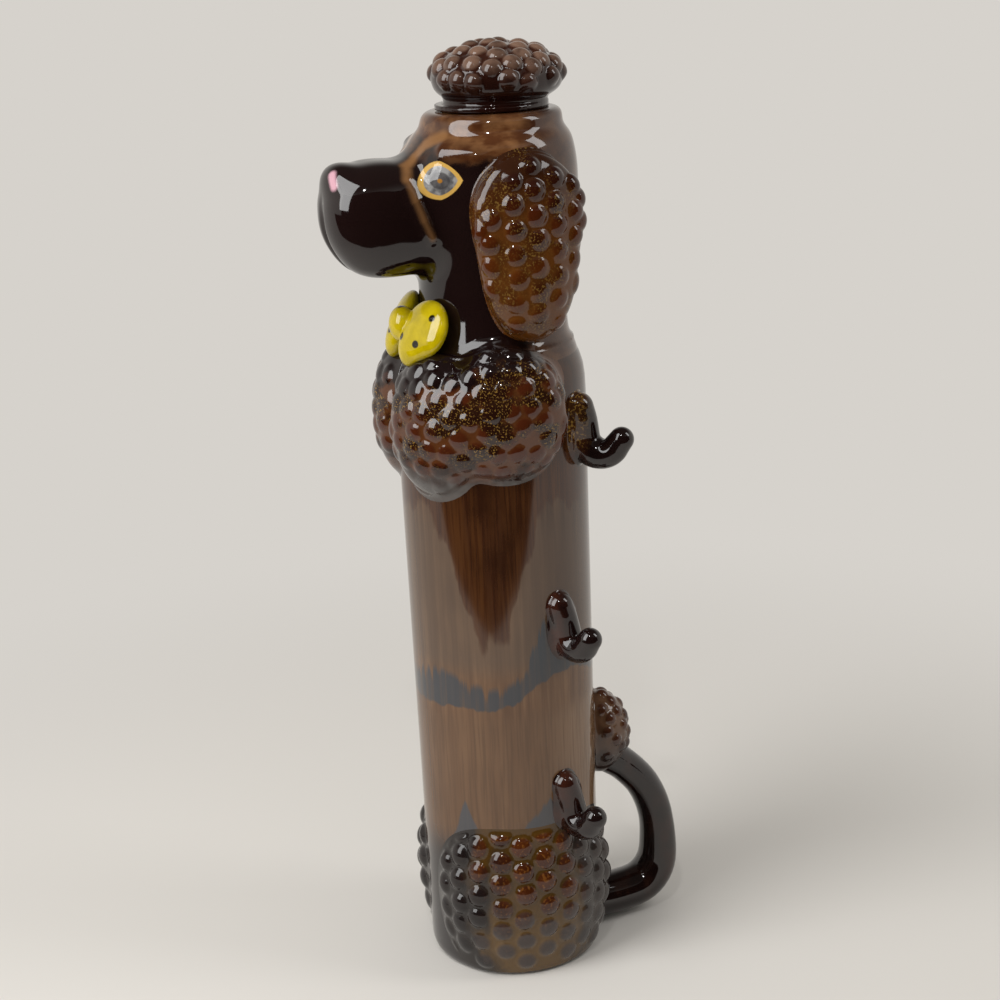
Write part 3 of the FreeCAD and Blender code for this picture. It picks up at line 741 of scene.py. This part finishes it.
def curl_glaze(name, valley, top, low_valley, low_top, high, low, gold, crest=None):
    """Thick glaze that pools paler between the curls; its colours change from high to low on the piece.

    Real gold flecks are finer, and are drawn about 0.8 mm wide so that they show.
    """
    made, tree, sockets = finish(name, 0.08, 1.53)
    spot, _, _, z, _ = places(tree)
    curl = add(tree, "ShaderNodeAttribute", out="Fac", attribute_name="curl")
    cover = add(tree, "ShaderNodeMapRange", curl, 0.1, 0.6, **RAMP)
    cloud = mottle(tree, spot, (10.0, 10.0, 10.0), 0.42, 0.66)
    sink = add(tree, "ShaderNodeMapRange", z, high, low, **RAMP)
    ground = coats(tree, valley, (sink, low_valley))
    tops = coats(tree, top, (sink, low_top))
    dark = both(tree, cloud, add(tree, "ShaderNodeMapRange", curl, 0.0, 1.0, 0.45, 0.7))
    if crest:
        shade = add(tree, "ShaderNodeMapRange", z, *crest, 0.0, 0.75, **RAMP)
        dark = add(tree, "ShaderNodeMath", dark, shade, operation="MAXIMUM")
    flecks = mottle(tree, spot, (0.8, 0.8, 0.8), 0.54, 0.64, 1.0)
    paint = coats(tree, ground, (cover, tops), (dark, "#1a0a07"),
                  (both(tree, flecks, cloud, gold), "#8d6f35"))
    tree.links.new(paint, sockets["Base Color"])
    return made


def foreleg_glaze():
    """Red-brown broken by black patches with gold flecks; black at the throat, slate along the lower edge."""
    made, tree, sockets = finish("foreleg glaze", 0.08)
    spot, _, y, z, _ = places(tree)
    curl = add(tree, "ShaderNodeAttribute", out="Fac", attribute_name="curl")
    cover = add(tree, "ShaderNodeMapRange", curl, 0.1, 0.7, **RAMP)
    cloud = mottle(tree, spot, (12.0, 12.0, 9.0), 0.45, 0.58)
    wander = mottle(tree, spot, (8.0, 8.0, 8.0), 0.3, 0.7)
    flecks = mottle(tree, spot, (0.7, 0.7, 0.7), 0.56, 0.66, 1.0)
    rise = add(tree, "ShaderNodeMath", wander, 8.0, z, operation="MULTIPLY_ADD")
    slate = add(tree, "ShaderNodeMapRange", rise, 219.0, 208.0, 0.0, 0.85, **RAMP)
    front = add(tree, "ShaderNodeMath", y, -0.25, rise, operation="MULTIPLY_ADD")
    throat = add(tree, "ShaderNodeMapRange", front, 256.0, 261.0, **RAMP)
    belt = add(tree, "ShaderNodeMapRange", z, 214.0, 226.0, **RAMP)
    paint = coats(tree, "#4f2c15", (cover, "#421c0b"), (both(tree, cloud, 0.85), "#180a07"),
                  (both(tree, cloud, flecks, belt, 0.7), "#8a6a30"), (slate, "#54514f"),
                  (both(tree, slate, wander, 0.7), "#33261f"), (throat, "#150a09"))
    tree.links.new(paint, sockets["Base Color"])
    return made


def haunch_glaze():
    """Tan netted between brown curls in the middle of the side, running to slate-black round it and below."""
    made, tree, sockets = finish("haunch glaze", 0.08, 1.5)
    spot, _, y, z, flank = places(tree)
    curl = add(tree, "ShaderNodeAttribute", out="Fac", attribute_name="curl")
    cover = add(tree, "ShaderNodeMapRange", curl, 0.08, 0.5, **RAMP)
    cloud = mottle(tree, spot, (10.0, 10.0, 14.0), 0.35, 0.65)
    flecks = mottle(tree, spot, (1.2, 1.2, 1.2), 0.55, 0.68, 1.0)
    turn = add(tree, "ShaderNodeMath", y, flank, operation="ARCTAN2")
    fore = add(tree, "ShaderNodeMath", cloud, -0.25, turn, operation="MULTIPLY_ADD")
    fore = add(tree, "ShaderNodeMapRange", fore, -0.57, -0.97, 0.0, 0.95, **RAMP)
    aft = add(tree, "ShaderNodeMath", cloud, 0.25, turn, operation="MULTIPLY_ADD")
    aft = add(tree, "ShaderNodeMapRange", aft, 0.33, 0.73, 0.0, 0.9, **RAMP)
    sink = add(tree, "ShaderNodeMapRange", z, 42.0, 14.0, 0.0, 0.8, **RAMP)
    slump = add(tree, "ShaderNodeMath", cloud, 14.0, z, operation="MULTIPLY_ADD")
    slump = add(tree, "ShaderNodeMapRange", slump, 50.0, 26.0, 0.0, 0.85, **RAMP)
    ground = coats(tree, "#4a3210", (both(tree, cloud, 0.5), "#3a2a12"), (sink, "#614a2c"), (aft, "#3a3635"),
                   (fore, "#211e1e"))
    tops = coats(tree, "#4a230c", (both(tree, cloud, 0.6), "#2a1007"), (both(tree, flecks, 0.5), "#7a4d1f"),
                 (slump, "#3d3836"), (aft, "#332e2c"), (fore, "#181414"))
    tree.links.new(coats(tree, ground, (cover, tops)), sockets["Base Color"])
    return made


def dark_glaze():
    """Almost black, with a red-brown cast where it thins."""
    made, tree, sockets = finish("black-brown glaze", 0.06)
    spot, *_ = places(tree)
    thin = mottle(tree, spot, (8.0, 8.0, 14.0), 0.4, 0.75)
    tree.links.new(coats(tree, "#150b09", (thin, "#2a1711")), sockets["Base Color"])
    return made


def hook_glaze():
    """Black-brown fingers whose pads above stay browner and speckled with gold."""
    made, tree, sockets = finish("speckled black-brown glaze", 0.06)
    spot, x, y, z, _ = places(tree)
    away = add(tree, "ShaderNodeCombineXYZ", x, y, 0.0)
    away = add(tree, "ShaderNodeVectorMath", away, out="Value", operation="LENGTH")
    pad = add(tree, "ShaderNodeMapRange", away, 44.0, 39.0, **RAMP)
    cloud = mottle(tree, spot, (6.0, 6.0, 9.0), 0.35, 0.65)
    flecks = mottle(tree, spot, (1.0, 1.0, 1.0), 0.52, 0.64, 1.0)
    high = add(tree, "ShaderNodeMapRange", z, 214.0, 224.0, **RAMP)
    paint = coats(tree, "#160b0a", (both(tree, pad, cloud), "#34180f"), (both(tree, pad, high), "#3f2410"),
                  (both(tree, pad, high, flecks), "#7f602b"))
    tree.links.new(paint, sockets["Base Color"])
    return made


def head_glaze():
    """Black-brown face, brown streaked crown, tan edge down the cheek, ringed eyes and a pink nose."""
    made, tree, sockets = finish("face glaze", 0.06)
    spot, _, y, z, flank = places(tree)
    streak = mottle(tree, spot, (5.0, 9.0, 4.0), 0.35, 0.68)
    cloud = mottle(tree, spot, (11.0, 11.0, 9.0), 0.3, 0.7)
    lean = add(tree, "ShaderNodeMath", y, 0.35, z, operation="MULTIPLY_ADD")
    crown = add(tree, "ShaderNodeMath", cloud, 9.0, lean, operation="MULTIPLY_ADD")
    crown = add(tree, "ShaderNodeMapRange", crown, 326.0, 333.0, **RAMP)
    behind = add(tree, "ShaderNodeMapRange", y, 0.0, 18.0, 0.0, 0.6, **RAMP)
    rear = add(tree, "ShaderNodeMapRange", y, 4.0, 22.0, 0.0, 0.85, **RAMP)
    brown = coats(tree, "#4f2d17", (streak, "#7a5434"), (both(tree, cloud, 0.7), "#33190b"),
                  (behind, "#33201a"))
    here = add(tree, "ShaderNodeCombineXYZ", flank, y, z)
    away = add(tree, "ShaderNodeVectorMath", here, EYE, operation="SUBTRACT")
    along = add(tree, "ShaderNodeVectorMath", away, EYE_ALONG, out="Value", operation="DOT_PRODUCT")
    above = add(tree, "ShaderNodeVectorMath", away, (0.0, 0.0, 1.0), out="Value", operation="DOT_PRODUCT")
    across = add(tree, "ShaderNodeMath", along, EYE_HALF_LENGTH, operation="DIVIDE")
    rise = add(tree, "ShaderNodeMath", above, EYE_HALF_HEIGHT, operation="DIVIDE")
    rise = add(tree, "ShaderNodeMath", rise, operation="ABSOLUTE")
    ring = add(tree, "ShaderNodeCombineXYZ", across, rise, 0.0)
    ring = add(tree, "ShaderNodeVectorMath", ring, out="Value", operation="LENGTH")
    outer = add(tree, "ShaderNodeMath", across, 0.0, operation="MAXIMUM")
    point = both(tree, outer, rise, 0.45)
    eye = add(tree, "ShaderNodeMath", ring, point)
    lid = add(tree, "ShaderNodeMapRange", eye, 1.03, 0.97, **RAMP)
    white = add(tree, "ShaderNodeMapRange", eye, 0.79, 0.74, **RAMP)
    grey = mottle(tree, spot, (3.0, 3.0, 3.0), 0.35, 0.65)
    eyeball = coats(tree, "#8f8e8d", (grey, "#565556"))
    pupil = add(tree, "ShaderNodeMapRange", ring, 0.48, 0.40, **RAMP)
    dot = add(tree, "ShaderNodeMapRange", ring, 0.14, 0.09, **RAMP)
    edge = stripe(tree, here, CHEEK_EDGE, CHEEK_EDGE_WIDTHS, 1.6)
    blush = stripe(tree, here, NOSE_BLUSH, NOSE_BLUSH_WIDTHS, 0.9)
    nape = add(tree, "ShaderNodeMath", cloud, 8.0, z, operation="MULTIPLY_ADD")
    nape = both(tree, add(tree, "ShaderNodeMapRange", nape, 276.0, 266.0, **RAMP),
                add(tree, "ShaderNodeMapRange", y, -2.0, 14.0, **RAMP))
    ground = coats(tree, "#170c0b", (rear, "#301d16"), (both(tree, rear, cloud), "#22130e"), (crown, brown),
                   (nape, brown))
    paint = coats(tree, ground, (edge, "#7d5836"), (lid, "#c29a4e"), (white, eyeball),
                  (both(tree, pupil, 0.75), "#3a3738"), (dot, "#9a6a2c"), (blush, "#c99aa6"))
    tree.links.new(paint, sockets["Base Color"])
    return made


def bow_glaze():
    """Lemon yellow with a few black dots."""
    made, tree, sockets = finish("yellow glaze", 0.07)
    spot, _, y, z, flank = places(tree)
    pale = mottle(tree, spot, (6.0, 6.0, 6.0), 0.35, 0.7)
    dots = spots(tree, add(tree, "ShaderNodeCombineXYZ", flank, y, z), BOW_DOTS, 1.5, 0.3)
    tree.links.new(coats(tree, "#a89400", (pale, "#bda70c"), (dots, "#17120a")), sockets["Base Color"])
    return made


def cork():
    """Dull tan cork with darker pores."""
    made, tree, sockets = finish("cork", 0.85)
    spot, *_ = places(tree)
    grain = mottle(tree, spot, (2.0, 2.0, 2.0), 0.35, 0.7)
    pores = mottle(tree, spot, (0.9, 0.9, 0.5), 0.66, 0.72, 1.0)
    tree.links.new(coats(tree, "#b58a5a", (grain, "#9c7346"), (pores, "#5c3d22")), sockets["Base Color"])
    return made


def keep(made, body, slot, *nodes):
    """Hangs a finished piece on its body and lets it stand for its built nodes."""
    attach(made, body)
    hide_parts(*nodes)


BROWN = trunk_glaze()
DARK = dark_glaze()
HOOK = hook_glaze()
HEAD = head_glaze()
BOW = bow_glaze()
CORK = cork()
EAR = curl_glaze("ear glaze", "#4f2b0f", "#3a1506", "#563110", "#4a2208", 322.0, 284.0, 0.4,
                 crest=(306.0, 326.0))
LEG = foreleg_glaze()
THIGH = haunch_glaze()
TAIL = curl_glaze("pompom glaze", "#5e4330", "#48291a", "#3b2f2a", "#2c211e", 92.0, 74.0, 0.0)
# The topknot's curl tops are paler grey-brown high up: partly its own crown glaze, partly a painted highlight
# of light falling from above.
KNOT = curl_glaze("topknot glaze", "#3a1d12", "#745a4b", "#1d0b07", "#2a110a", 367.0, 353.0, 0.0)

# Trunk
rises = np.concatenate([TRUNK_PROFILE[:5, 0], np.linspace(12, 230, 40), TRUNK_PROFILE[6:, 0]])
outside = [(trunk_radius(rise), rise) for rise in rises]
inside = [(trunk_radius(rise) - WALL, rise) for rise in np.linspace(TRUNK_TOP - 2 * WALL, FLOOR, 12)]
passage = [(PASSAGE_RADIUS, TRUNK_TOP), (PASSAGE_RADIUS, TRUNK_TOP - 2 * WALL)]
profile = [(AXIS_GAP, 0.0)] + outside + passage + inside + [(AXIS_GAP, FLOOR)]
keep(lathe("trunk_glazed", profile, 0.0, 160, BROWN), "decanter", "brown_glaze", "trunk")

# Head
points, quads = skin(head, (-38, -66, 243), (38, 42, 345), 1.0)
keep(piece("head_glazed", points, quads, HEAD), "decanter", "dark_glaze", "head")

# Curled pieces: each form is skinned, its fluff says where and how far curls rise, and they are raised on it.
# An ear's curls die away at its upper front corner and lie lower on its lobe, a haunch's towards the foot
points, quads = skin(ear, (20, -18, 256), (44, 30, 333), 0.75)
corner = 0.6 * (points[:, 2] - EAR_MIDDLE[2]) - 0.8 * (points[:, 1] - EAR_MIDDLE[1])
fluff = fade(bottle(points), 0.3, 2.0) * (1 - 0.8 * fade(corner, 11.0, 19.0))
fluff *= 0.6 + 0.4 * fade(points[:, 2], 286.0, 308.0)
made = curled(piece("ear_left_glazed", points, quads, fluff=fluff), FLAT, EAR,
              radius=4.1, height=1.8, across=8.4, up=9.0, side=6.0, rise=300.0, rim=20.3, stray=0.6,
              columns=7, rows=8)
keep(mirrored(made, "ear_right_glazed"), "decanter", "brown_glaze", "ear_right")
keep(made, "decanter", "brown_glaze", "ear_left")

points, quads = skin(foreleg, (-1, -52, 198), (50, 30, 264), 0.8)
fluff = fade(bottle(points), 0.8, 4.0) * (0.4 + 0.6 * fade(points[:, 2], 204.0, 216.0))
made = curled(piece("foreleg_left_glazed", points, quads, fluff=fluff), SPREAD, LEG,
              radius=4.0, height=0.9, across=7.4, seed=7)
keep(mirrored(made, "foreleg_right_glazed"), "decanter", "brown_glaze", "foreleg_right")
keep(made, "decanter", "brown_glaze", "foreleg_left")

points, quads = skin(haunch, (0, -38, 0), (42, 38, 88), 0.8)
fluff = fade(trunk(points), 0.1, 0.6) * fade(points[:, 2], 1.2, 5.0)
fluff *= 0.6 + 0.4 * fade(points[:, 2], 12.0, 38.0)
made = curled(piece("haunch_left_glazed", points, quads, fluff=fluff), ROUND, THIGH,
              radius=4.6, height=2.0, across=9.4, up=10.0, side=39.2, rise=33.0, rim=60.0, stray=0.7,
              columns=11, rows=6)
keep(mirrored(made, "haunch_right_glazed"), "decanter", "brown_glaze", "haunch_right")
keep(made, "decanter", "brown_glaze", "haunch_left")

points, quads = skin(pompom, (-14, 28, 64), (14, 55, 106), 0.7)
fluff = fade(trunk(points), 0.8, 4.0) * fade(points[:, 2], 72.0, 80.0)
made = curled(piece("tail_pompom_glazed", points, quads, fluff=fluff), SPREAD, TAIL,
              radius=2.7, height=1.2, across=5.0, seed=3)
keep(made, "decanter", "brown_glaze", "tail_pompom")

points, quads = skin(topknot, (-26, -18, 323), (26, 34, 371), 0.7)
fluff = fade(points[:, 2], 350.5, 356.0)
made = curled(piece("topknot_glazed", points, quads, fluff=fluff), SPREAD, KNOT,
              radius=4.0, height=2.0, across=6.8, seed=11)
keep(made, "stopper", "brown_glaze", "stopper_topknot")

# Cork sleeve round the spigot
keep(lathe("cork_sleeve", CORK_PROFILE, MOUTH_SET_BACK, 96, CORK), "stopper", "cork", "stopper_cork")

# Smooth applied pieces
points, quads = skin(handle, (-12, 28, 0), (12, 76, 95), 0.9)
keep(piece("tail_handle_glazed", points, quads, DARK), "decanter", "dark_glaze", "tail_handle")
points, quads = skin(bow, (-27, -42, 248), (27, -18, 281), 0.6)
keep(piece("bow_tie_glazed", points, quads, BOW), "decanter", "yellow_glaze", "bow_tie")
for name, angle, height, *sizes in HOOKS:
    middle = polar(44.0, angle, height)
    points, quads = skin(hook(angle, height, *sizes), middle - (19, 19, 17), middle + (19, 19, 25), 0.55)
    left, right = "hook_" + name + "_left", "hook_" + name + "_right"
    made = piece(left + "_glazed", points, quads, HOOK)
    keep(mirrored(made, right + "_glazed"), "decanter", "dark_glaze", right)
    keep(made, "decanter", "dark_glaze", left)

# Stage: pale paper that runs out into the same pale room, a dark end of the room behind the camera that only
# shows in the glaze, soft boxes either side and a small lamp by the camera

def sheet(name, corners, material):
    """A flat sheet or a folded strip of the stage, its corners in metres."""
    mesh = bpy.data.meshes.new(name)
    mesh.from_pydata(corners, [], [list(range(len(corners)))])
    mesh.materials.append(material)
    made = bpy.data.objects.new(name, mesh)
    scene.collection.objects.link(made)
    return made


# Edge of the paper towards the camera: (millimetres, degrees from the dog's left)
PAPER_EDGE = [(406, -32), (456, -8), (545, 14), (652, 24), (746, 30), (4500, 45), (6000, 0), (6000, -60),
              (4500, -110), (746, -94), (652, -88), (545, -78), (456, -56)]
WALL_DISTANCE = 2.2
WALL_RISE = 1.7

# Lamps: name, degrees from the dog's left and up, distance, width and height in metres, watts
LAMPS = [("soft box on the left", -76.0, 36.0, 1.1, 0.6, 1.2, 12.0),
         ("soft box on the right", 58.0, 40.0, 1.2, 0.3, 0.6, 2.6),
         ("lamp by the camera", -26.0, 50.0, 1.3, 0.06, 0.06, 1.6)]
PALE = "#d6d2cc"

paper, tree, sockets = finish("pale paper", 0.8)
sockets["Base Color"].default_value = colour(PALE)
sockets["Specular IOR Level"].default_value = 0.0
away = add(tree, "ShaderNodeTexCoord", out="Object")
away = add(tree, "ShaderNodeVectorMath", away, out="Value", operation="LENGTH")
far = add(tree, "ShaderNodeMapRange", away, 0.16, 0.55, **RAMP)
glow = add(tree, "ShaderNodeEmission", colour(PALE), 1.0)
shaded = tree.nodes["Principled BSDF"].outputs[0]
surface = tree.nodes["Material Output"].inputs["Surface"]
tree.links.new(add(tree, "ShaderNodeMixShader", far, shaded, glow), surface)
floor = sheet("paper floor", [tuple(polar(9.0, turn, 0.0)) for turn in range(0, 360, 4)], paper)

shade, tree, sockets = finish("dark room", 0.9)
sockets["Base Color"].default_value = colour("#1a1614")
sockets["Specular IOR Level"].default_value = 0.0
paper_edge = [tuple(polar(reach * MM, turn, 0.0004)) for reach, turn in PAPER_EDGE]
dark_floor = sheet("dark floor past the paper", paper_edge, shade)
wall = [polar(WALL_DISTANCE, turn, 0.0) for turn in range(-85, 56, 5)]
wall_top = [tuple(place + (0, 0, WALL_RISE)) for place in wall[::-1]]
dark_wall = sheet("dark wall behind the camera", [tuple(place) for place in wall] + wall_top, shade)
for flag in (dark_floor, dark_wall):
    flag.visible_camera = flag.visible_diffuse = flag.visible_shadow = False

for name, angle, lift, reach, wide, tall, power in LAMPS:
    light = bpy.data.lights.new(name, "AREA")
    light.shape = "RECTANGLE"
    light.size, light.size_y, light.energy = wide, tall, power
    lamp = bpy.data.objects.new(name, light)
    ring = reach * math.cos(math.radians(lift))
    lamp.location = Vector((*polar(ring, angle, 0)[:2], 0.2 + reach * math.sin(math.radians(lift))))
    lamp.rotation_euler = (Vector((0, 0, 0.2)) - lamp.location).to_track_quat("-Z", "Y").to_euler()
    scene.collection.objects.link(lamp)

world = bpy.data.worlds.new("pale room")
world.use_nodes = True
tree = world.node_tree
tree.nodes.clear()
room_light = add(tree, "ShaderNodeBackground", colour("#f2f0ec"), 0.53)
above = add(tree, "ShaderNodeSeparateXYZ", add(tree, "ShaderNodeTexCoord", out="Generated"), out=2)
above = add(tree, "ShaderNodeMapRange", above, 0.3, 0.8, **RAMP)
seen = add(tree, "ShaderNodeBackground", coats(tree, PALE, (above, "#45413e")), 1.0)
rays = add(tree, "ShaderNodeLightPath").node.outputs
direct = add(tree, "ShaderNodeMath", rays["Is Camera Ray"], rays["Is Glossy Ray"], operation="MAXIMUM")
direct = add(tree, "ShaderNodeMath", direct, rays["Is Transmission Ray"], operation="MAXIMUM")
add(tree, "ShaderNodeOutputWorld", add(tree, "ShaderNodeMixShader", direct, room_light, seen))
scene.world = world
scene.view_settings.view_transform = "Standard"

# Camera
lens = bpy.data.cameras.new("photo camera")
lens.sensor_fit, lens.sensor_width, lens.lens = "HORIZONTAL", 36.0, CAMERA_LENS
lens.clip_start, lens.clip_end = 0.01, 50.0
turn, pitch, roll = (math.radians(v) for v in (CAMERA_TURN, CAMERA_PITCH, CAMERA_ROLL))
right = Vector((math.cos(turn), math.sin(turn), 0))
back = Vector((math.sin(turn), -math.cos(turn), 0))
up = Vector((0, 0, 1)) * math.cos(pitch) - back * math.sin(pitch)
toward = back * math.cos(pitch) + Vector((0, 0, 1)) * math.sin(pitch)
across = right * math.cos(roll) - up * math.sin(roll)
upward = right * math.sin(roll) + up * math.cos(roll)
camera = bpy.data.objects.new("photo camera", lens)
stand = (back * CAMERA_BACK + right * CAMERA_ASIDE + Vector((0, 0, CAMERA_HEIGHT))) * MM
camera.matrix_world = Matrix.Translation(stand) @ Matrix((across, upward, toward)).transposed().to_4x4()
scene.collection.objects.link(camera)
scene.camera = camera
